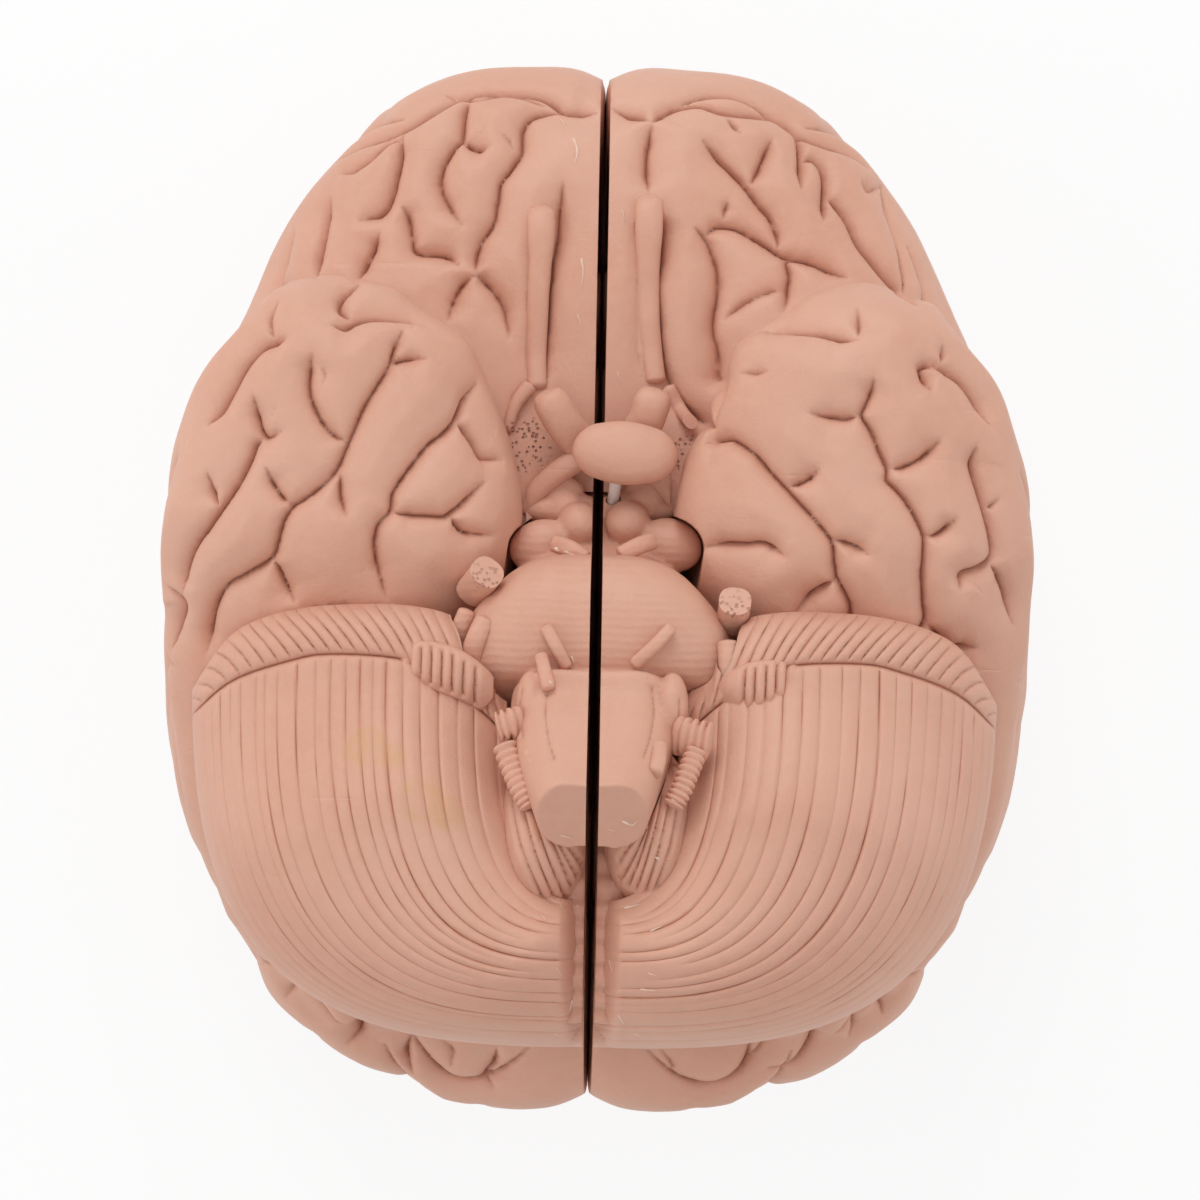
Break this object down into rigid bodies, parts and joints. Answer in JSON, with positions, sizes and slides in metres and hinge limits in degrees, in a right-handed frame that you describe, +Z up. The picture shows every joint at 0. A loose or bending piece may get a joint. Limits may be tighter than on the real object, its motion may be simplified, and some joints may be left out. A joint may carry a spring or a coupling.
{
  "type": "brain anatomy model",
  "caption": "Life-size teaching brain in flesh-coloured soft vinyl, split down the middle, each half coming apart on pegs, lying on its crown with its base up.",
  "frame": {"origin": "on the surface it lies on, under the middle of its outline", "axes": "+Z up, out of the base of the brain; +Y to the front of the brain; +X to its left side"},
  "size_m": [0.1454, 0.1748, 0.132],
  "materials": {
    "flesh_vinyl": "satin soft vinyl, pinkish flesh, slightly translucent",
    "white_nylon": "smooth white nylon"
  },
  "bodies": {
    "frontal_parietal_right": {"frontal_parietal_right": "flesh_vinyl", "hemisphere_peg_front": "white_nylon", "hemisphere_peg_back": "white_nylon", "side_peg_right_front": "white_nylon", "side_peg_right_back": "white_nylon", "brainstem_peg_right": "white_nylon"},
    "frontal_parietal_left": {"frontal_parietal_left": "flesh_vinyl", "side_peg_left_front": "white_nylon", "side_peg_left_back": "white_nylon", "brainstem_peg_left": "white_nylon"},
    "temporal_occipital_right": {"temporal_occipital_right": "flesh_vinyl"},
    "temporal_occipital_left": {"temporal_occipital_left": "flesh_vinyl"},
    "brainstem_right": {"brainstem_right": "flesh_vinyl", "cerebellum_peg_right": "white_nylon"},
    "brainstem_left": {"brainstem_left": "flesh_vinyl", "cerebellum_peg_left": "white_nylon", "pituitary_gland": "flesh_vinyl", "pituitary_pin": "white_nylon"},
    "cerebellum_right": {"cerebellum_right": "flesh_vinyl"},
    "cerebellum_left": {"cerebellum_left": "flesh_vinyl"}
  },
  "joints": [
    {"name": "halves_part", "type": "slide", "parent": "frontal_parietal_right", "child": "frontal_parietal_left", "axis": [1, 0, 0], "range_m": [0, 0.04]},
    {"name": "temporal_right_off", "type": "slide", "parent": "frontal_parietal_right", "child": "temporal_occipital_right", "axis": [-1, 0, 0], "range_m": [0, 0.08]},
    {"name": "temporal_left_off", "type": "slide", "parent": "frontal_parietal_left", "child": "temporal_occipital_left", "axis": [1, 0, 0], "range_m": [0, 0.08]},
    {"name": "brainstem_right_off", "type": "slide", "parent": "frontal_parietal_right", "child": "brainstem_right", "axis": [0, 0, 1], "range_m": [0, 0.06]},
    {"name": "brainstem_left_off", "type": "slide", "parent": "frontal_parietal_left", "child": "brainstem_left", "axis": [0, 0, 1], "range_m": [0, 0.06]},
    {"name": "cerebellum_right_off", "type": "slide", "parent": "brainstem_right", "child": "cerebellum_right", "axis": [0, -0.8192, 0.5736], "range_m": [0, 0.08]},
    {"name": "cerebellum_left_off", "type": "slide", "parent": "brainstem_left", "child": "cerebellum_left", "axis": [0, -0.8192, 0.5736], "range_m": [0, 0.08]}
  ]
}
